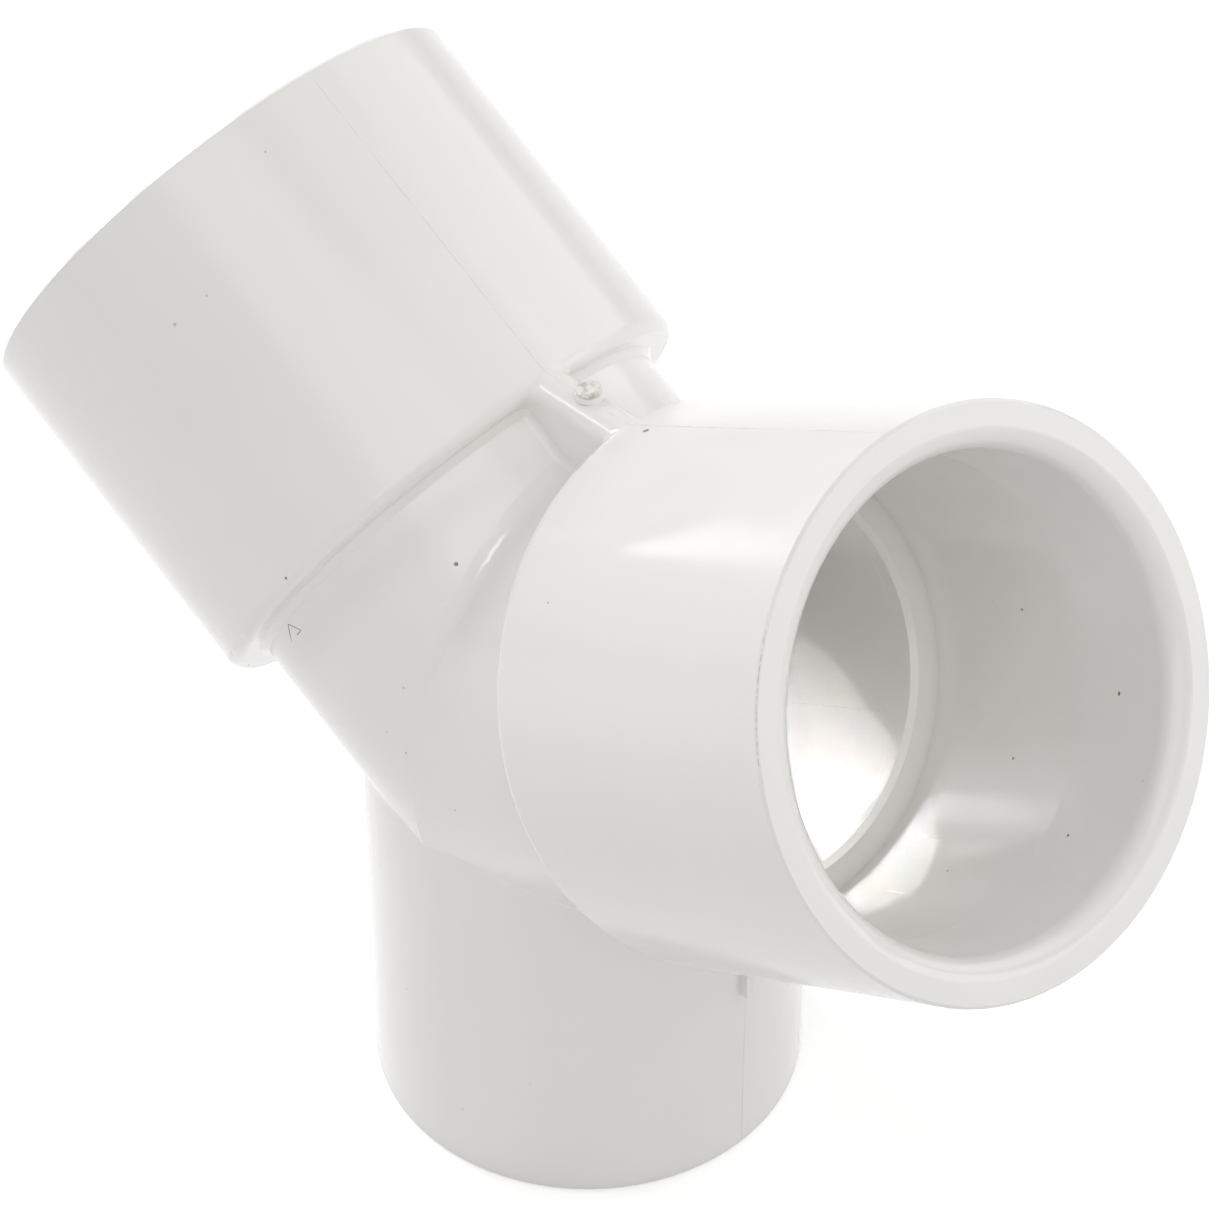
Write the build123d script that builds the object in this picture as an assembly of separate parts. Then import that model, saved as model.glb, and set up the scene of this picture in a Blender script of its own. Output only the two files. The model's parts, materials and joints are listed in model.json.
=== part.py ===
from build123d import *
import math
import os

# One-piece moulded PVC wye: two socket arms and one spigot arm, evenly spaced in one plane.
# Millimetres and degrees. +Z is up, out of the spigot; the origin is the centre of the spigot's end face.

# ---- Driving dimensions ------------------------------------------------------------------------

arm_spacing = 120.0  # angle between the axes of neighbouring arms

pipe_diameter = 48.26  # outside of 1-1/2 in pipe, which the spigot copies and the sockets take
spigot_wall = 3.3
neck_wall = 4.77
hub_wall = 5.37  # round the straight part of a socket

spigot_reach = 56.6  # from the meeting point of the axes to the spigot's end
spigot_gauge_length = 24.0  # plain length that goes into another fitting
spigot_draft = 0.15  # how much its radius grows from there to the meeting point
spigot_end_bevel = 0.3

socket_reach = 63.9  # from the meeting point of the axes to a socket's mouth
socket_depth = 35.0
socket_clearance = 0.05  # round the pipe, in the straight part of a socket
socket_flare = 0.57  # how much the radius grows from the straight part to the mouth
socket_flare_depth = 13.0
mouth_lead_in = 2.3  # rounded lead-in at a socket's mouth
mouth_edge_bevel = 0.3
stop_edge_bevel = 0.6  # inner edge of the stop that a pipe butts against

shoulder_reach = 22.7  # from the meeting point of the axes to a hub's back face
hub_back_round = 1.4
shoulder_bevel = 0.8  # in the corner where a hub's back face meets its neck

neck_crotch_round = 3.0  # outside, in the crease between the two necks
waterway_crotch_round = 1.6  # inside, where two waterways meet
root_round = 1.0  # where the spigot leaves the necks
crease_fade_angle = 78.0  # how far round from its deepest point a crease's round runs

upper_web_thickness = 4.8  # in the crotch between the hubs
upper_web_rise = 0.7  # above the back edges of the hubs
upper_web_round = 2.1
upper_web_foot_round = 1.0  # where it stands on the necks and meets the hubs
lower_web_thickness = 1.5  # in the crotches beside the spigot
lower_web_drop = 16.4  # down the spigot, from where the neck leaves it
lower_web_standout = 0.9  # of its straight edge, from the spigot's plain length
lower_web_straight = 4.0  # length of that edge
web_bite = 2.2  # how far a web is sunk in what it joins

gate_stub_base_diameter = 3.1
gate_stub_tip_diameter = 2.7
gate_stub_height = 0.6
gate_stub_offset = 0.4  # from the parting plane, towards +Y

# ---- Worked-out values -------------------------------------------------------------------------

spigot_radius = pipe_diameter / 2
waterway_radius = spigot_radius - spigot_wall
neck_radius = waterway_radius + neck_wall
socket_radius = spigot_radius + socket_clearance
mouth_radius = socket_radius + socket_flare
hub_radius = socket_radius + hub_wall

half_spacing = math.radians(arm_spacing / 2)
stop_reach = socket_reach - socket_depth
overrun = 5.0  # how far a cutter runs past the face that it opens
behind = 2 * neck_radius  # how far an arm starts behind the meeting point, past every mitre
lip = 1.0  # width of the flat that a rounded cutter keeps beyond its round
touching = 0.001  # nearer than this counts as lying on a plane

meeting_point = Vector(0, 0, spigot_reach)
up = Vector(0, 0, 1)
left_direction = up.rotate(Axis.Y, -arm_spacing / 2)
right_direction = up.rotate(Axis.Y, arm_spacing / 2)
down = Vector(0, 0, -1)
world_size = 4 * (socket_reach + spigot_reach)  # a box of this size takes in the whole fitting


def arm_plane(direction):
    """Plane across an arm at the meeting point, with its normal along the arm."""
    return Plane(origin=meeting_point, x_dir=(0, 1, 0), z_dir=direction)


def half_space(direction, distance=0.0):
    """Everything further than a distance from the meeting point, in one direction."""
    start = Plane(origin=meeting_point + direction * distance, x_dir=(0, 1, 0), z_dir=direction)
    return start * Box(world_size, world_size, world_size, align=(Align.CENTER, Align.CENTER, Align.MIN))


def turned(*corners):
    """Solid turned about Z from its half outline: radius and height of each corner, and what eases it."""
    outline = make_face(Polyline(*[(radius, height) for radius, height, *_ in corners], close=True))
    for radius, height, *easing in corners:
        if easing:
            ease, size = easing
            outline = ease(outline.vertices().sort_by_distance((radius, height, 0))[0], size)
    return revolve(Plane.XZ * outline, Axis.Z, 360)


def socket_arm_outside(direction, beside):
    """Neck and hub of one socket arm, mitred at the plane that it shares with the other arm."""
    body = turned(
        (0, -behind),
        (neck_radius, -behind),
        (neck_radius, shoulder_reach, chamfer, shoulder_bevel),
        (hub_radius, shoulder_reach, fillet, hub_back_round),
        (hub_radius, socket_reach, chamfer, mouth_edge_bevel),
        (0, socket_reach),
    )
    return (arm_plane(direction) * body) & half_space(beside)


def socket_arm_inside(direction):
    """Flared socket, stop and waterway of one socket arm, as the solid that is cut away."""
    rim_radius = mouth_radius + mouth_lead_in + lip
    hollow = turned(
        (0, -behind),
        (waterway_radius, -behind),
        (waterway_radius, stop_reach, chamfer, stop_edge_bevel),
        (socket_radius, stop_reach),
        (socket_radius, socket_reach - socket_flare_depth),
        (mouth_radius, socket_reach, fillet, mouth_lead_in),
        (rim_radius, socket_reach),
        (rim_radius, socket_reach + overrun),
        (0, socket_reach + overrun),
    )
    return sector(arm_plane(direction) * hollow, direction)


def spigot_inside():
    """Waterway of the spigot, as the solid that is cut away, with the bevelled edge at its end."""
    rim_radius = waterway_radius + spigot_end_bevel + lip
    hollow = turned(
        (0, -behind),
        (waterway_radius, -behind),
        (waterway_radius, spigot_reach, chamfer, spigot_end_bevel),
        (rim_radius, spigot_reach),
        (rim_radius, spigot_reach + overrun),
        (0, spigot_reach + overrun),
    )
    return sector(arm_plane(down) * hollow, down)


def sector(solid, direction):
    """The part of a solid that is nearer to one arm's axis than to its neighbours'."""
    one_side = direction.rotate(Axis.Y, 90 - arm_spacing / 2)
    other_side = direction.rotate(Axis.Y, arm_spacing / 2 - 90)
    return (solid & half_space(one_side)) & half_space(other_side)


def rounded_crotch(pipes, bisector, pipe_radius, crease_round):
    """Two pipes beyond the fade plane of the crease between them, with that crease rounded."""
    fade = pipe_radius * math.cos(math.radians(crease_fade_angle)) / math.sin(half_spacing)
    block = pipes & half_space(bisector, fade)
    across = bisector.rotate(Axis.Y, 90)
    crease = [
        edge
        for edge in block.edges()
        if all(abs((edge @ place - meeting_point).dot(across)) < touching for place in (0, 0.3, 0.7, 1))
    ]
    return fillet(crease, crease_round)


def necks_and_hubs():
    """Outside of both socket arms, with the crease above their crotch rounded."""
    left_arm = socket_arm_outside(left_direction, Vector(-1, 0, 0))
    right_arm = socket_arm_outside(right_direction, Vector(1, 0, 0))
    arms = left_arm + right_arm
    return arms + rounded_crotch(arms, up, neck_radius, neck_crotch_round)


def with_spigot(arms):
    """The arms with the spigot under them, rounded where it leaves the necks."""
    pipe = turned(
        (0, 0),
        (spigot_radius, 0, chamfer, spigot_end_bevel),
        (spigot_radius, spigot_gauge_length),
        (spigot_radius + spigot_draft, spigot_reach),
        (0, spigot_reach),
    )
    return fillet(new_edges(arms, pipe, combined=arms + pipe), root_round)


def with_upper_web(arms, top):
    """The arms with the web that ties the hubs together across the upper crotch, rounded all round."""
    hub_edge_across = shoulder_reach * math.sin(half_spacing) - hub_radius * math.cos(half_spacing)
    crotch_height = spigot_reach + neck_radius / math.sin(half_spacing)
    plate = Pos(0, 0, top) * Box(
        2 * (hub_edge_across + web_bite),
        upper_web_thickness,
        top - crotch_height + web_bite,
        align=(Align.CENTER, Align.CENTER, Align.MAX),
    )
    plate = fillet(plate.edges().filter_by(Axis.X).group_by(Axis.Z)[-1], upper_web_round)
    return fillet(new_edges(arms, plate, combined=arms + plate), upper_web_foot_round)


def gate_stub(web_top):
    """What is left of the moulding's gate, on top of the upper web."""
    return Pos(0, gate_stub_offset, web_top) * Cone(
        gate_stub_base_diameter / 2,
        gate_stub_tip_diameter / 2,
        gate_stub_height,
        align=(Align.CENTER, Align.CENTER, Align.MIN),
    )


def lower_web():
    """Thin web in the crotch between the right neck and the spigot."""
    axis_lean = math.radians(90 - arm_spacing / 2)
    flat_radius = hub_radius - hub_back_round
    shoulder_x = shoulder_reach * math.cos(axis_lean) + flat_radius * math.sin(axis_lean)
    shoulder_z = shoulder_reach * math.sin(axis_lean) - flat_radius * math.cos(axis_lean)
    root_z = (spigot_radius * math.sin(axis_lean) - neck_radius) / math.cos(axis_lean)
    inside_x = spigot_radius - web_bite
    edge_x = spigot_radius + lower_web_standout
    toe_z = root_z - lower_web_drop
    outline = Polyline(
        (inside_x, toe_z),
        (edge_x, toe_z),
        (edge_x, toe_z + lower_web_straight),
        (shoulder_x, shoulder_z),
        (shoulder_x + web_bite, shoulder_z + web_bite),
        (inside_x, shoulder_z + 2 * web_bite),
        close=True,
    )
    plate = extrude(Plane.XZ * make_face(outline), lower_web_thickness / 2, both=True)
    return Pos(0, 0, spigot_reach) * plate


def waterways():
    """Everything that is hollow, as one solid, with the creases between the waterways rounded."""
    left_hollow = socket_arm_inside(left_direction)
    right_hollow = socket_arm_inside(right_direction)
    spigot_hollow = spigot_inside()
    hollows = left_hollow + right_hollow + spigot_hollow
    pairs = (
        (left_hollow + right_hollow, up),
        (right_hollow + spigot_hollow, left_direction * -1),
        (left_hollow + spigot_hollow, right_direction * -1),
    )
    for pipes, bisector in pairs:
        hollows += rounded_crotch(pipes, bisector, waterway_radius, waterway_crotch_round)
    return hollows


def wye():
    hub_edge_rise = shoulder_reach * math.cos(half_spacing) + hub_radius * math.sin(half_spacing)
    web_top = spigot_reach + hub_edge_rise + upper_web_rise
    body = with_spigot(with_upper_web(necks_and_hubs(), web_top))
    body += gate_stub(web_top)
    body += lower_web()
    body += mirror(lower_web(), Plane.YZ)
    return body - waterways()


os.makedirs("parts", exist_ok=True)
wye_body = wye()
export_step(wye_body, "parts/wye_body.step")
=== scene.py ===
import json
import math

import bmesh
import bpy
from bpy.props import FloatProperty, FloatVectorProperty, PointerProperty
from mathutils import Matrix, Vector, noise
from mathutils.bvhtree import BVHTree


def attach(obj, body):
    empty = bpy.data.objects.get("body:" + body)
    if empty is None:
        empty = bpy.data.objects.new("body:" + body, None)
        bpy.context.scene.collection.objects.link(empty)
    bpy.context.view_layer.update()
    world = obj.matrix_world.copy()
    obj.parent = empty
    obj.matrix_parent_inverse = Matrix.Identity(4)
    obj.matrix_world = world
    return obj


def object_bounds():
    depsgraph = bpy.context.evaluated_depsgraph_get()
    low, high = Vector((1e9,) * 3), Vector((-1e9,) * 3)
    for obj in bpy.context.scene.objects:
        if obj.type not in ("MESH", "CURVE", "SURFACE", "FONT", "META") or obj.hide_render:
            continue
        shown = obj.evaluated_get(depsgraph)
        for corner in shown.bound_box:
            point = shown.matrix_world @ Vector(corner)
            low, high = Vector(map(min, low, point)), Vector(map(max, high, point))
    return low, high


bl_info = {
    "name": "Moulded pipe wye",
    "version": (1, 0, 0),
    "blender": (4, 5, 0),
    "location": "View3D > Sidebar > Wye",
    "description": "Finishes the moulded pipe wye and sets up its studio",
    "category": "Object",
}

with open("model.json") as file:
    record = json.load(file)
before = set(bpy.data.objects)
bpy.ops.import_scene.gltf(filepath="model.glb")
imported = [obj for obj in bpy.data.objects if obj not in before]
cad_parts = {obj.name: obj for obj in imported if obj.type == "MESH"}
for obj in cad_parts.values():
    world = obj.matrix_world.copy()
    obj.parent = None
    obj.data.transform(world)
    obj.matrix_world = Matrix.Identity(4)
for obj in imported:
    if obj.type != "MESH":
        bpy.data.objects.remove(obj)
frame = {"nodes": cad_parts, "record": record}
cad_low, cad_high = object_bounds()

BODY = "wye_body"
MOUNTS = {mount["name"]: mount for mount in frame["record"]["mounts"]}
ARMS = {"left": "left_socket", "right": "right_socket", "spigot": "spigot"}  # the mount on each arm

MILLIMETRES = 1000.0  # in a metre
DOWN = Vector((0.0, 0.0, -1.0))

# How fine each noise is: cells to a metre.
STREAK_SCALE = 30.0
RIPPLE_SCALE = 60.0
DULL_PATCH_SCALE = 140.0
BEAD_SCALE = 420.0
PEEL_SCALE = 700.0
TEAR_SCALE = 1300.0
LUMP_SCALE = 1500.0
MOTTLE_SCALE = 2200.0
GRAIN_SCALE = 3800.0
SPECK_SCALE = 9000.0

PVC_IOR = 1.53
CORNER_REACH = 0.003  # how far from a corner its dust and painted shade reach
CORNER_DUST_AND_SHADE = 0.30  # share of grime colour in the deepest corner, as dust and painted shade together

BEAD_TOP_SHARE = 0.45  # width of a bead's top, as a share of its foot's half width
BEAD_MEAN_LIFT = 0.75  # share of its full height
BEAD_LIFT_CHANGE = 0.9
BEAD_FADE_SECTIONS = 3.0  # from where a bead is at full height to its end

SPECK_FLATNESS = 0.12
SPECK_MEAN_STRETCH = 0.8
SPECK_STRETCH_CHANGE = 0.5
SPECK_LUMPINESS = 0.35
SPECK_TURN = 1.9  # radians from one speck to the next

STUB_GAP = 1.4  # where the web's parting line starts, in stub radii from its middle
TEAR_FLATNESS = 0.20
TEAR_LUMPINESS = 0.16
TEAR_RIM_LIFT = 0.14  # in stub radii, as the next two are
TEAR_SINK = 0.06
TEAR_ROUGHNESS = 0.17

FLOOR_HALF_SIZE = 3.0
FLOOR_GLOW = 0.42  # what the lamps leave the floor short of white
SNOOT_DISTANCE = 0.60  # from the junction, on the left arm's axis
LEFT_GLINT_SHARE = 0.5  # of a small lamp's power
SENSOR_WIDTH = 36.0  # millimetres
NEAREST_SEEN = 0.01
AIM_OFFSET = Vector((-0.00159, 0.00460, 0.00436))  # from the middle of the CAD box to where the camera looks

# Marks on the skin. A place is an arm, degrees round it and millimetres along it from the junction.
# Degrees start in the parting plane, on the upper side of the left arm, the lower side of the right
# one and the -X side of the spigot, and turn towards +Y.
# Specks: place, millimetres across, and whether it is in the bore.
FAINT_SPECKS = (
    ("left", -54, 51, 0.46, False),
    ("left", -45, 51, 0.30, False),
    ("left", -18, 59, 0.26, False),
    ("left", -2, 40, 0.34, False),
    ("left", -98, 31, 0.32, False),
    ("left", -48, 12, 0.30, False),
    ("left", -70, 8, 0.32, False),
    ("left", -84, 6, 0.26, False),
    ("left", -83, 3, 0.30, False),
    ("left", -97, 3, 0.26, False),
    ("right", -85, 6, 0.34, False),
    ("right", -135, 30, 0.34, False),
    ("right", -111, 53, 0.34, False),
    ("right", 42, 61, 0.24, True),
    ("right", 29, 38, 0.24, True),
    ("right", 83, 39, 0.30, True),
    ("spigot", -120, 40, 0.30, False),
    ("spigot", -80, 35, 0.26, False),
    ("spigot", -100, 48, 0.30, False),
)
DARK_SPECKS = (
    ("left", -70, 24, 0.36, False),
    ("left", -40, 14, 0.44, False),
    ("right", 62, 56, 0.40, True),
    ("right", 44, 42, 0.38, True),
    ("right", 26, 54, 0.32, True),
    ("right", 11, 41, 0.30, True),
    ("right", 81, 43, 0.34, True),
)
PINHOLES = (("right", -178, 28, 0.75, False),)

# Scratches: arm, first end, last end (each degrees and millimetres), width in millimetres,
# and whether it is in the bore.
DARK_SCRATCHES = (
    ("left", (-89, 21.5), (-93, 20), 0.20, False),
    ("left", (-89, 21.5), (-86, 20), 0.18, False),
    ("left", (-86, 20), (-89, 20), 0.14, False),
)
FAINT_SCRATCHES = (
    ("left", (0, 47), (0, 53), 0.24, False),
    ("right", (52, 9), (52, 25), 0.06, True),
    ("right", (27, 26.5), (19, 26.5), 0.08, True),
    ("right", (29, 27.5), (19, 28), 0.08, True),
)
# The three light lines at 25.5 to 26.5 mm follow the curve of the socket's stop ring and are its painted
# highlight. The wide one at 20 to 21 degrees is a painted glint, and the one at 1 degree is a scuff.
LIGHT_SCRATCHES_AND_HIGHLIGHTS = (
    ("right", (39, 26.5), (31, 26.5), 0.16, True),
    ("right", (101, 26.5), (84, 26.5), 0.10, True),
    ("right", (98, 25.5), (85, 26), 0.08, True),
    ("right", (21, 33), (20, 37), 0.55, True),
    ("right", (1, 35.5), (1, 38.5), 0.35, True),
)
RIM_STAINS = (("right", (-133, 63.75), (-108, 63.75), 0.12, False),)


# ---- Sizes and colours that a user would change ------------------------------------------------


class WyeSizes(bpy.types.PropertyGroup):
    """Sizes of the fitting that the finishing pieces are seated on, and of those pieces."""

    hub_radius: FloatProperty(
        name="Hub radius", description="Outside radius of the two socket hubs",
        default=cad_high.y, unit="LENGTH",
    )
    hub_start: FloatProperty(
        name="Hub start", description="From the junction to a hub's back face",
        default=0.0227, unit="LENGTH",
    )
    web_half_span: FloatProperty(
        name="Web half span", description="From the middle of the web between the hubs to where it meets one",
        default=0.0050, unit="LENGTH",
    )
    lower_web_top: FloatProperty(
        name="Lower web top", description="Where a lower web's edge runs under its hub, above the floor",
        default=0.0410, unit="LENGTH",
    )
    stub_offset: FloatProperty(
        name="Gate stub offset", description="From the parting plane to the middle of the gate's stub",
        default=0.0004, unit="LENGTH",
    )
    stub_radius: FloatProperty(
        name="Gate stub radius", description="Radius at the stub's broken tip",
        default=0.00135, unit="LENGTH",
    )
    toe_height: FloatProperty(
        name="Toe height", description="Lower end of the webs beside the spigot, above the floor",
        default=0.02457, unit="LENGTH",
    )
    flash_width: FloatProperty(
        name="Flash width", description="Width of the parting line's raised bead",
        default=0.00022, unit="LENGTH",
    )
    flash_height: FloatProperty(
        name="Flash height", description="How far the parting line's bead stands out",
        default=0.00007, unit="LENGTH",
    )
    scratch_height: FloatProperty(
        name="Scratch height", description="How far the raised edges of a scratch stand out",
        default=0.00002, unit="LENGTH",
    )
    bead_section: FloatProperty(
        name="Bead section", description="Spacing of the cross-sections along a bead",
        default=0.0004, unit="LENGTH",
    )
    edge_clearance: FloatProperty(
        name="Edge clearance", description="Gap from a bead's end to an open edge",
        default=0.0006, unit="LENGTH",
    )


class WyeColours(bpy.types.PropertyGroup):
    """Colours and gloss of the moulded plastic, its marks and the studio floor."""

    plastic: FloatVectorProperty(
        name="Plastic", description="Main colour of the plastic", subtype="COLOR",
        default=(0.905, 0.895, 0.873), min=0.0, max=1.0,
    )
    plastic_shade: FloatVectorProperty(
        name="Plastic shade", description="Duller streaks left by the melt's flow", subtype="COLOR",
        default=(0.882, 0.870, 0.843), min=0.0, max=1.0,
    )
    # The grime colour is also painted into the inner corners, where it stands for shade as well as dust.
    grime_and_corner_shade: FloatVectorProperty(
        name="Grime", description="Dust held in the inner corners", subtype="COLOR",
        default=(0.40, 0.35, 0.29), min=0.0, max=1.0,
    )
    speck: FloatVectorProperty(
        name="Speck", description="Dark specks in the skin", subtype="COLOR",
        default=(0.14, 0.12, 0.10), min=0.0, max=1.0,
    )
    faint: FloatVectorProperty(
        name="Faint mark", description="Pale dirt and shallow scratches", subtype="COLOR",
        default=(0.52, 0.50, 0.46), min=0.0, max=1.0,
    )
    rim_stain: FloatVectorProperty(
        name="Rim stain", description="Pale brown line along one rim", subtype="COLOR",
        default=(0.62, 0.48, 0.37), min=0.0, max=1.0,
    )
    torn: FloatVectorProperty(
        name="Torn plastic", description="Hollows of the torn gate", subtype="COLOR",
        default=(0.60, 0.55, 0.48), min=0.0, max=1.0,
    )
    # This pale colour is also used for the painted highlights on the stop ring and for a painted glint on the
    # socket wall.
    scuff_and_highlight: FloatVectorProperty(
        name="Scuff", description="Fresh plastic where the skin is scratched through", subtype="COLOR",
        default=(0.93, 0.93, 0.92), min=0.0, max=1.0,
    )
    stain: FloatVectorProperty(
        name="Stain", description="Brown burn marks and stains", subtype="COLOR",
        default=(0.33, 0.20, 0.10), min=0.0, max=1.0,
    )
    floor: FloatVectorProperty(
        name="Floor", description="Floor that the fitting stands on", subtype="COLOR",
        default=(0.80, 0.80, 0.80), min=0.0, max=1.0,
    )
    gloss_low: FloatProperty(
        name="Smoothest", description="Roughness where the mould was polished best",
        default=0.14, min=0.0, max=1.0, subtype="FACTOR",
    )
    gloss_high: FloatProperty(
        name="Roughest", description="Roughness where the skin is dullest",
        default=0.20, min=0.0, max=1.0, subtype="FACTOR",
    )


class WyeStudio(bpy.types.PropertyGroup):
    """Camera and lamps."""

    azimuth: FloatProperty(
        name="Azimuth", description="Camera's place round the fitting, from the front",
        default=math.radians(44.82), subtype="ANGLE",
    )
    elevation: FloatProperty(
        name="Elevation", description="Camera's height above the floor's plane",
        default=math.radians(42.64), subtype="ANGLE",
    )
    distance: FloatProperty(
        name="Distance", description="From the camera to the point that it looks at",
        default=0.54065, unit="LENGTH",
    )
    lens: FloatProperty(
        name="Lens", description="Focal length in millimetres on a 36 mm sensor", default=150.8,
    )
    ambient: FloatProperty(
        name="Ambient light", description="Strength of the light tent all round", default=0.34,
    )
    key_power: FloatProperty(
        name="Key power", description="Power of the lamp beyond the left mouth, in watts", default=2.5,
    )
    fill_power: FloatProperty(
        name="Fill power", description="Power of the wide lamp behind the camera, in watts", default=2.75,
    )
    back_power: FloatProperty(
        name="Back power", description="Power of the lamp behind the fitting, in watts", default=1.55,
    )
    top_power: FloatProperty(
        name="Top power", description="Power of the lamp over the right arm, in watts", default=0.6,
    )
    snoot_power: FloatProperty(
        name="Snoot power", description="Power of the narrow lamp down the left socket, in watts",
        default=0.005,
    )
    snoot_spread: FloatProperty(
        name="Snoot spread", description="Full angle of the narrow lamp's cone",
        default=0.06, subtype="ANGLE",
    )
    glint_power: FloatProperty(
        name="Glint power", description="Power of each small lamp that makes highlights, in watts",
        default=0.6,
    )


# ---- Places on the fitting ---------------------------------------------------------------------


def junction():
    """Point where the three axes meet, from the right socket's axis."""
    place, axis = Vector(MOUNTS["right_socket"]["pos_m"]), Vector(MOUNTS["right_socket"]["axis"])
    return place - axis * (place.x / axis.x)


def arm_matrix(arm):
    """Arm's own frame: Z out along its axis from the junction, X in the parting plane, Y across."""
    axis = MOUNTS[ARMS[arm]]["axis"]
    return Matrix.Translation(junction()) @ Matrix.Rotation(math.atan2(axis[0], axis[2]), 4, "Y")


def mouth_reach():
    """From the junction to a socket's mouth, from the box's corner, where the mouth's edge is."""
    sine, _, cosine = MOUNTS["right_socket"]["axis"]
    return (cad_high.x - bpy.context.scene.wye_sizes.hub_radius * cosine) / sine


def skin_of_body():
    """Search tree of the CAD body's surface, in the row frame."""
    body = frame["nodes"][BODY]
    return BVHTree.FromPolygons(
        [vertex.co for vertex in body.data.vertices], [face.vertices for face in body.data.polygons]
    )


def arm_ray(arm, degrees, along, in_bore):
    """Start and direction of the ray that meets the skin at a place, from outside or from the arm's axis."""
    place = arm_matrix(arm)
    turn = math.radians(degrees)
    radial = place.to_3x3() @ Vector((math.cos(turn), math.sin(turn), 0.0))
    centre = place @ Vector((0.0, 0.0, along))
    if in_bore:
        return centre, radial
    return centre + radial * 2.0 * bpy.context.scene.wye_sizes.hub_radius, -radial


def meet_skin(skin, ray):
    """Point and outward normal where a ray first meets the surface."""
    point, normal, _, _ = skin.ray_cast(*ray)
    if point is None:
        raise RuntimeError(f"nothing is met by the ray from {ray[0]} towards {ray[1]}")
    return point, normal


def arm_run(arm, first, last, in_bore=False):
    """Rays along a straight run on an arm; each end is degrees round it and metres along it."""
    reach = bpy.context.scene.wye_sizes.hub_radius
    length = math.hypot(reach * math.radians(last[0] - first[0]), last[1] - first[1])
    return [
        arm_ray(arm, first[0] + (last[0] - first[0]) * part, first[1] + (last[1] - first[1]) * part, in_bore)
        for part in run_parts(length)
    ]


def straight_run(first, last, direction):
    """Parallel rays that start evenly spaced between two points."""
    return [(first.lerp(last, part), direction) for part in run_parts((last - first).length)]


def run_parts(length):
    """Fractions from 0 to 1, one for every bead section along a run."""
    sections = max(6, round(length / bpy.context.scene.wye_sizes.bead_section))
    return [number / sections for number in range(sections + 1)]


def seat_matrix(point, normal, spin=0.0):
    """Frame that stands on the surface, with Z along the normal."""
    return (
        Matrix.Translation(point)
        @ normal.to_track_quat("Z", "X").to_matrix().to_4x4()
        @ Matrix.Rotation(spin, 4, "Z")
    )


def finish_piece(name, mesh_data, material):
    """Object from a bmesh, riding on the body, with smooth faces and its material."""
    bmesh.ops.recalc_face_normals(mesh_data, faces=mesh_data.faces)
    mesh = bpy.data.meshes.new(name)
    mesh_data.to_mesh(mesh)
    mesh_data.free()
    for face in mesh.polygons:
        face.use_smooth = True
    piece = bpy.data.objects.new(name, mesh)
    bpy.context.scene.collection.objects.link(piece)
    mesh.materials.append(material)
    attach(piece, "root")
    return piece


# ---- Materials ---------------------------------------------------------------------------------


def add_node(tree, kind, **inputs):
    """Node of a kind, with the named sockets set."""
    made = tree.nodes.new(kind)
    for socket, value in inputs.items():
        made.inputs[socket.replace("_", " ")].default_value = value
    return made


def noise_node(tree, coordinates, scale, detail, distortion=0.0):
    """Noise texture on the given coordinates."""
    made = add_node(tree, "ShaderNodeTexNoise", Scale=scale, Detail=detail, Distortion=distortion)
    tree.links.new(coordinates, made.inputs["Vector"])
    return made


def mapped(tree, value, low, high, out_low, out_high):
    """Output of a node that maps a value's range from low..high to out_low..out_high."""
    made = tree.nodes.new("ShaderNodeMapRange")
    for socket, number in zip(("From Min", "From Max", "To Min", "To Max"), (low, high, out_low, out_high)):
        made.inputs[socket].default_value = number
    tree.links.new(value, made.inputs["Value"])
    return made.outputs["Result"]


def blended(tree, factor, first, second):
    """Output of a node that mixes two colours; each is a colour or the output that gives one."""
    made = tree.nodes.new("ShaderNodeMix")
    made.data_type = "RGBA"
    tree.links.new(factor, made.inputs["Factor"])
    for socket, colour in (("A", first), ("B", second)):
        if isinstance(colour, bpy.types.NodeSocket):
            tree.links.new(colour, made.inputs[socket])
        else:
            made.inputs[socket].default_value = (*colour, 1.0)
    return made.outputs["Result"]


def new_material(name, roughness):
    """Material, its node tree, its shader and the object coordinates."""
    material = bpy.data.materials.new(name)
    material.use_nodes = True
    tree = material.node_tree
    shader = tree.nodes["Principled BSDF"]
    shader.inputs["Roughness"].default_value = roughness
    coordinates = tree.nodes.new("ShaderNodeTexCoord").outputs["Object"]
    return material, tree, shader, coordinates


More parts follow.
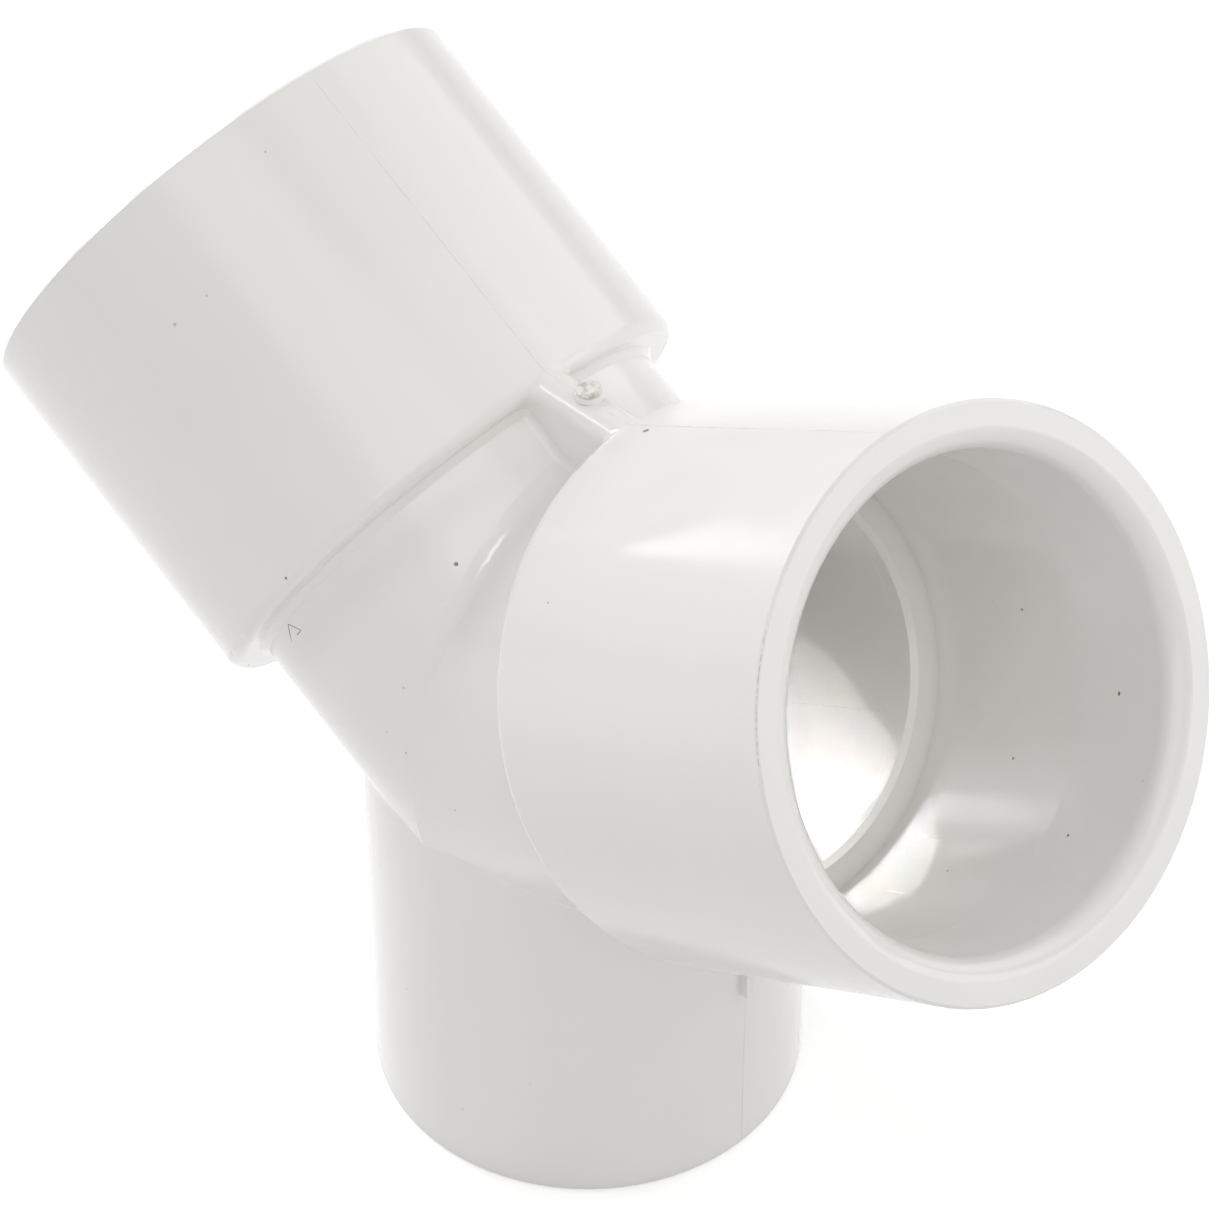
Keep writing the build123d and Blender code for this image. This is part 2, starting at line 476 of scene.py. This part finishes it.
def plastic_material():
    """Glossy moulded plastic: faint flow streaks, uneven gloss, fine orange peel, dust and painted shade in
    the corners.
    """
    colours = bpy.context.scene.wye_colours
    material, tree, shader, coordinates = new_material("moulded_pvc", colours.gloss_low)
    shader.inputs["IOR"].default_value = PVC_IOR

    streaks = noise_node(tree, coordinates, STREAK_SCALE, 4.0, 0.8)
    streak_strength = mapped(tree, streaks.outputs["Fac"], 0.20, 0.80, 0.0, 1.0)
    skin_colour = blended(tree, streak_strength, colours.plastic, colours.plastic_shade)
    # Painted shade: the grime colour is mixed in where ambient occlusion finds a corner, so it darkens the
    # corners as shade would, besides holding dust.
    corners = add_node(tree, "ShaderNodeAmbientOcclusion", Distance=CORNER_REACH)
    corners.samples = 6
    corner_strength = mapped(tree, corners.outputs["AO"], 0.65, 0.25, 0.0, CORNER_DUST_AND_SHADE)
    dusty_and_shaded_colour = blended(tree, corner_strength, skin_colour, colours.grime_and_corner_shade)
    tree.links.new(dusty_and_shaded_colour, shader.inputs["Base Color"])

    dull_patches = noise_node(tree, coordinates, DULL_PATCH_SCALE, 4.0)
    gloss = mapped(tree, dull_patches.outputs["Fac"], 0.35, 0.70, colours.gloss_low, colours.gloss_high)
    tree.links.new(gloss, shader.inputs["Roughness"])

    peel = noise_node(tree, coordinates, PEEL_SCALE, 3.0)
    peel_bump = add_node(tree, "ShaderNodeBump", Strength=0.15, Distance=0.00005)
    tree.links.new(peel.outputs["Fac"], peel_bump.inputs["Height"])
    ripple = noise_node(tree, coordinates, RIPPLE_SCALE, 1.0)
    ripple_bump = add_node(tree, "ShaderNodeBump", Strength=0.15, Distance=0.00020)
    tree.links.new(ripple.outputs["Fac"], ripple_bump.inputs["Height"])
    tree.links.new(peel_bump.outputs["Normal"], ripple_bump.inputs["Normal"])
    tree.links.new(ripple_bump.outputs["Normal"], shader.inputs["Normal"])
    return material


def mark_material(name, colour, mottle_colour, roughness):
    """Dull mark in the skin, mottled from one colour to another."""
    material, tree, shader, coordinates = new_material(name, roughness)
    mottle = noise_node(tree, coordinates, MOTTLE_SCALE, 2.0)
    strength = mapped(tree, mottle.outputs["Fac"], 0.35, 0.65, 0.0, 1.0)
    tree.links.new(blended(tree, strength, colour, mottle_colour), shader.inputs["Base Color"])
    return material


def torn_material():
    """Plastic torn at the gate: pale ridges, tan hollows, fine grain."""
    colours = bpy.context.scene.wye_colours
    material, tree, shader, coordinates = new_material("torn_gate", 0.55)
    lumps = noise_node(tree, coordinates, LUMP_SCALE, 5.0)
    ridges = mapped(tree, lumps.outputs["Fac"], 0.35, 0.60, 0.0, 1.0)
    torn_colour = blended(tree, ridges, colours.torn, colours.plastic)
    tree.links.new(torn_colour, shader.inputs["Base Color"])
    grain = noise_node(tree, coordinates, GRAIN_SCALE, 4.0)
    grain_bump = add_node(tree, "ShaderNodeBump", Strength=0.6, Distance=0.0001)
    tree.links.new(grain.outputs["Fac"], grain_bump.inputs["Height"])
    tree.links.new(grain_bump.outputs["Normal"], shader.inputs["Normal"])
    return material


def floor_material():
    """Pale floor that stays white round the object and keeps its shadow."""
    colours = bpy.context.scene.wye_colours
    material, tree, shader, _ = new_material("studio_floor", 0.9)
    shader.inputs["Base Color"].default_value = (*colours.floor, 1.0)
    shader.inputs["Emission Color"].default_value = (1.0, 1.0, 1.0, 1.0)
    rays = tree.nodes.new("ShaderNodeLightPath")
    seen = add_seen_rays(tree, rays)
    glow = tree.nodes.new("ShaderNodeMath")
    glow.operation = "MULTIPLY"
    glow.inputs[1].default_value = FLOOR_GLOW
    tree.links.new(seen, glow.inputs[0])
    tree.links.new(glow.outputs["Value"], shader.inputs["Emission Strength"])
    return material


def add_seen_rays(tree, rays):
    """One for rays that show the background: straight from the camera, mirrored or through glass."""
    first = tree.nodes.new("ShaderNodeMath")
    first.operation = "MAXIMUM"
    tree.links.new(rays.outputs["Is Camera Ray"], first.inputs[0])
    tree.links.new(rays.outputs["Is Glossy Ray"], first.inputs[1])
    second = tree.nodes.new("ShaderNodeMath")
    second.operation = "MAXIMUM"
    tree.links.new(first.outputs["Value"], second.inputs[0])
    tree.links.new(rays.outputs["Is Transmission Ray"], second.inputs[1])
    return second.outputs["Value"]


# ---- Finishing pieces --------------------------------------------------------------------------


def lay_bead(beads, skin, rays, width, height):
    """Low bead that follows the skin where a run of rays meets it, uneven in height and sunk at both ends."""
    hits = [meet_skin(skin, ray) for ray in rays]
    last = len(hits) - 1
    bead = bmesh.new()
    bmesh.ops.create_cube(bead, size=1.0)
    long_edges = [edge for edge in bead.edges if abs(edge.verts[0].co.x - edge.verts[1].co.x) > 0.5]
    bmesh.ops.subdivide_edges(bead, edges=long_edges, cuts=last - 1)
    for vertex in bead.verts:
        section = round((vertex.co.x + 0.5) * last)
        point, normal = hits[section]
        along = (hits[min(section + 1, last)][0] - hits[max(section - 1, 0)][0]).normalized()
        across = normal.cross(along) * vertex.co.y * width
        if vertex.co.z > 0.0:
            fade = min(1.0, min(section, last - section) / BEAD_FADE_SECTIONS)
            unevenness = BEAD_MEAN_LIFT + BEAD_LIFT_CHANGE * noise.noise(point * BEAD_SCALE)
            lift = height * unevenness * fade
            vertex.co = point + across * BEAD_TOP_SHARE + normal * lift
        else:
            vertex.co = point + across - normal * height
    join_into(beads, bead)


def join_into(target, source):
    """Moves one bmesh's geometry into another."""
    carrier = bpy.data.meshes.new("carrier")
    source.to_mesh(carrier)
    source.free()
    target.from_mesh(carrier)
    bpy.data.meshes.remove(carrier)


def lay_scratches(name, scratches, height, material):
    """One piece for all the scratches of a kind."""
    skin = skin_of_body()
    beads = bmesh.new()
    for arm, first, last, width, in_bore in scratches:
        start = (first[0], first[1] / MILLIMETRES)
        end = (last[0], last[1] / MILLIMETRES)
        lay_bead(beads, skin, arm_run(arm, start, end, in_bore), width / MILLIMETRES, height)
    finish_piece(name, beads, material)


def seat_specks(name, specks, material):
    """One piece for all the specks of a kind, each a flattened crumb of its own shape."""
    skin = skin_of_body()
    crumbs = bmesh.new()
    for number, (arm, degrees, along, across, in_bore) in enumerate(specks):
        point, normal = meet_skin(skin, arm_ray(arm, degrees, along / MILLIMETRES, in_bore))
        radius = across / (2.0 * MILLIMETRES)
        made = bmesh.ops.create_icosphere(crumbs, subdivisions=3, radius=radius)["verts"]
        own = Vector((number, 0.0, 0.0))
        stretch = SPECK_MEAN_STRETCH + SPECK_STRETCH_CHANGE * noise.noise(own * 3.7)
        bmesh.ops.scale(crumbs, vec=(1.0, stretch, SPECK_FLATNESS), verts=made)
        for vertex in made:
            vertex.co *= 1.0 + SPECK_LUMPINESS * noise.noise(vertex.co * SPECK_SCALE + own)
        seat = seat_matrix(point, normal, number * SPECK_TURN)
        bmesh.ops.transform(crumbs, matrix=seat, verts=made)
    finish_piece(name, crumbs, material)


class WYE_OT_finish_body(bpy.types.Operator):
    """Give the fitting its glossy moulded plastic"""

    bl_idname = "wye.finish_body"
    bl_label = "Finish the body"

    def execute(self, context):
        body = frame["nodes"][BODY]
        body.data.materials[0] = plastic_material()
        return {"FINISHED"}


class WYE_OT_add_parting_lines(bpy.types.Operator):
    """Run the mould's parting line along both hubs, the spigot and the webs"""

    bl_idname = "wye.add_parting_lines"
    bl_label = "Add the parting lines"

    def execute(self, context):
        sizes = context.scene.wye_sizes
        skin = skin_of_body()
        hub = (sizes.hub_start, mouth_reach() - sizes.edge_clearance)
        height = junction().z
        spigot = (height - sizes.toe_height + sizes.edge_clearance, height - sizes.edge_clearance)
        runs = []
        for arm, (start, end) in (("left", hub), ("right", hub), ("spigot", spigot)):
            for side in (0.0, 180.0):
                runs.append(arm_run(arm, (side, start), (side, end)))
        above = 2.0 * cad_high.z
        for side in (-1.0, 1.0):
            by_stub = Vector((side * STUB_GAP * sizes.stub_radius, 0.0, above))
            by_hub = Vector((side * sizes.web_half_span, 0.0, above))
            runs.append(straight_run(by_stub, by_hub, DOWN))
            toe = Vector((side * cad_high.x, 0.0, sizes.toe_height + sizes.edge_clearance))
            under_hub = Vector((side * cad_high.x, 0.0, sizes.lower_web_top))
            runs.append(straight_run(toe, under_hub, Vector((-side, 0.0, 0.0))))
        beads = bmesh.new()
        for rays in runs:
            lay_bead(beads, skin, rays, sizes.flash_width, sizes.flash_height)
        piece = finish_piece("parting_lines", beads, frame["nodes"][BODY].data.materials[0])
        return {"FINISHED"}


class WYE_OT_add_gate_break(bpy.types.Operator):
    """Roughen the tip of the gate stub, where the sprue was twisted off"""

    bl_idname = "wye.add_gate_break"
    bl_label = "Add the gate's break"

    def execute(self, context):
        sizes = context.scene.wye_sizes
        tear = bmesh.new()
        made = bmesh.ops.create_icosphere(tear, subdivisions=5, radius=sizes.stub_radius)["verts"]
        for vertex in made:
            ragged = noise.fractal(vertex.co * TEAR_SCALE, 0.9, 2.1, 4)
            rim = math.hypot(vertex.co.x, vertex.co.y) / sizes.stub_radius
            lift = TEAR_RIM_LIFT * rim * rim - TEAR_SINK + TEAR_ROUGHNESS * ragged
            vertex.co *= 1.0 + TEAR_LUMPINESS * ragged
            vertex.co.z = vertex.co.z * TEAR_FLATNESS + lift * sizes.stub_radius
        above = Vector((0.0, sizes.stub_offset, 2.0 * cad_high.z))
        top, _ = meet_skin(skin_of_body(), (above, DOWN))
        bmesh.ops.translate(tear, verts=made, vec=top)
        finish_piece("gate_break", tear, torn_material())
        return {"FINISHED"}


class WYE_OT_add_marks(bpy.types.Operator):
    """Add the specks, the pinhole, the scratches, the painted highlights in the socket and the stain on the
    rim
    """

    bl_idname = "wye.add_marks"
    bl_label = "Add the marks"

    def execute(self, context):
        colours = context.scene.wye_colours
        dirt = mark_material("dirt", colours.speck, colours.grime_and_corner_shade, 0.7)
        faint = mark_material("faint_mark", colours.faint, colours.plastic_shade, 0.5)
        stain = mark_material("stain", colours.stain, colours.grime_and_corner_shade, 0.6)
        rim_stain = mark_material("rim_stain", colours.rim_stain, colours.plastic_shade, 0.4)
        # Pale colour for the scuffs and for the painted highlights in the socket.
        scuff_and_highlight = mark_material("scuff_and_highlight", colours.scuff_and_highlight, colours.plastic, 0.35)
        seat_specks("faint_specks", FAINT_SPECKS, faint)
        seat_specks("dark_specks", DARK_SPECKS, dirt)
        seat_specks("pinholes", PINHOLES, stain)
        height = context.scene.wye_sizes.scratch_height
        lay_scratches("dark_scratches", DARK_SCRATCHES, height, dirt)
        lay_scratches("faint_scratches", FAINT_SCRATCHES, height, faint)
        # One scuff, and painted highlights on the stop ring and the socket wall.
        lay_scratches("light_scratches_and_highlights", LIGHT_SCRATCHES_AND_HIGHLIGHTS, height, scuff_and_highlight)
        lay_scratches("rim_stains", RIM_STAINS, height, rim_stain)
        return {"FINISHED"}


class WYE_OT_add_stage(bpy.types.Operator):
    """Lay the pale floor, hang the lamps and place the camera"""

    bl_idname = "wye.add_stage"
    bl_label = "Add the studio"

    def execute(self, context):
        studio = context.scene.wye_studio
        floor_mesh = bmesh.new()
        bmesh.ops.create_grid(floor_mesh, x_segments=1, y_segments=1, size=FLOOR_HALF_SIZE)
        mesh = bpy.data.meshes.new("floor")
        floor_mesh.to_mesh(mesh)
        floor_mesh.free()
        floor = bpy.data.objects.new("floor", mesh)
        mesh.materials.append(floor_material())
        context.scene.collection.objects.link(floor)

        world = bpy.data.worlds.new("light_tent")
        context.scene.world = world
        world.use_nodes = True
        background = world.node_tree.nodes["Background"]
        background.inputs["Color"].default_value = (1.0, 1.0, 1.0, 1.0)
        rays = world.node_tree.nodes.new("ShaderNodeLightPath")
        seen = add_seen_rays(world.node_tree, rays)
        strength = world.node_tree.nodes.new("ShaderNodeMapRange")
        strength.inputs["To Min"].default_value = studio.ambient
        strength.inputs["To Max"].default_value = 1.0
        world.node_tree.links.new(seen, strength.inputs["Value"])
        world.node_tree.links.new(strength.outputs["Result"], background.inputs["Strength"])

        add_lamp("key", (-0.70, 0.03, 0.46), 0.32, 0.32, studio.key_power)
        add_lamp("fill", (0.45, -0.45, 0.75), 0.90, 0.90, studio.fill_power)
        add_lamp("back", (0.10, 0.80, 0.50), 0.70, 0.70, studio.back_power)
        add_lamp("top", (0.35, 0.35, 0.75), 0.60, 0.60, studio.top_power)
        snoot = arm_matrix("left") @ Vector((0.0, 0.0, SNOOT_DISTANCE))
        add_lamp("snoot", snoot, 0.03, 0.03, studio.snoot_power, studio.snoot_spread)
        left_glint_power = LEFT_GLINT_SHARE * studio.glint_power
        add_lamp("left_glint", (-0.79, -0.02, 0.17), 0.14, 0.10, left_glint_power)
        add_lamp("front_glint", (-0.45, -0.35, 0.55), 0.20, 0.20, studio.glint_power)
        add_lamp("right_glint", (0.60, 0.50, 0.20), 0.35, 0.30, studio.glint_power)

        middle = (cad_low + cad_high) / 2.0
        aim = middle + AIM_OFFSET
        back = Vector(
            (
                math.sin(studio.azimuth) * math.cos(studio.elevation),
                -math.cos(studio.azimuth) * math.cos(studio.elevation),
                math.sin(studio.elevation),
            )
        )
        camera_data = bpy.data.cameras.new("camera")
        camera_data.sensor_width = SENSOR_WIDTH
        camera_data.lens = studio.lens
        camera_data.clip_start = NEAREST_SEEN
        camera = bpy.data.objects.new("camera", camera_data)
        camera.location = aim + back * studio.distance
        camera.rotation_mode = "QUATERNION"
        camera.rotation_quaternion = (-back).to_track_quat("-Z", "Y")
        context.scene.collection.objects.link(camera)
        context.scene.camera = camera
        context.scene.view_settings.view_transform = "Standard"
        return {"FINISHED"}


def add_lamp(name, place, width, depth, power, spread=math.pi):
    """Area lamp that looks at the junction, hidden from the camera; a small spread makes it a snoot."""
    lamp_data = bpy.data.lights.new(name, "AREA")
    lamp_data.shape = "RECTANGLE"
    lamp_data.size = width
    lamp_data.size_y = depth
    lamp_data.energy = power
    lamp_data.spread = spread
    lamp = bpy.data.objects.new(name, lamp_data)
    lamp.location = place
    lamp.visible_camera = False
    to_junction = junction() - lamp.location
    lamp.rotation_mode = "QUATERNION"
    lamp.rotation_quaternion = to_junction.to_track_quat("-Z", "Y")
    bpy.context.scene.collection.objects.link(lamp)


class WYE_PT_panel(bpy.types.Panel):
    """Sizes, colours and steps of the wye"""

    bl_idname = "WYE_PT_panel"
    bl_label = "Moulded pipe wye"
    bl_space_type = "VIEW_3D"
    bl_region_type = "UI"
    bl_category = "Wye"

    def draw(self, context):
        for group in (context.scene.wye_sizes, context.scene.wye_colours, context.scene.wye_studio):
            box = self.layout.box()
            for name in group.bl_rna.properties.keys():
                if name not in ("rna_type", "name"):
                    box.prop(group, name)
        for operator in OPERATORS:
            self.layout.operator(operator.bl_idname)


OPERATORS = (
    WYE_OT_finish_body,
    WYE_OT_add_parting_lines,
    WYE_OT_add_gate_break,
    WYE_OT_add_marks,
    WYE_OT_add_stage,
)
CLASSES = (WyeSizes, WyeColours, WyeStudio, *OPERATORS, WYE_PT_panel)


def register():
    for cls in CLASSES:
        bpy.utils.register_class(cls)
    bpy.types.Scene.wye_sizes = PointerProperty(type=WyeSizes)
    bpy.types.Scene.wye_colours = PointerProperty(type=WyeColours)
    bpy.types.Scene.wye_studio = PointerProperty(type=WyeStudio)


def unregister():
    del bpy.types.Scene.wye_studio
    del bpy.types.Scene.wye_colours
    del bpy.types.Scene.wye_sizes
    for cls in reversed(CLASSES):
        bpy.utils.unregister_class(cls)


def main():
    register()
    bpy.ops.wye.finish_body()
    bpy.ops.wye.add_parting_lines()
    bpy.ops.wye.add_gate_break()
    bpy.ops.wye.add_marks()
    bpy.ops.wye.add_stage()


if __name__ == "__main__":
    main()
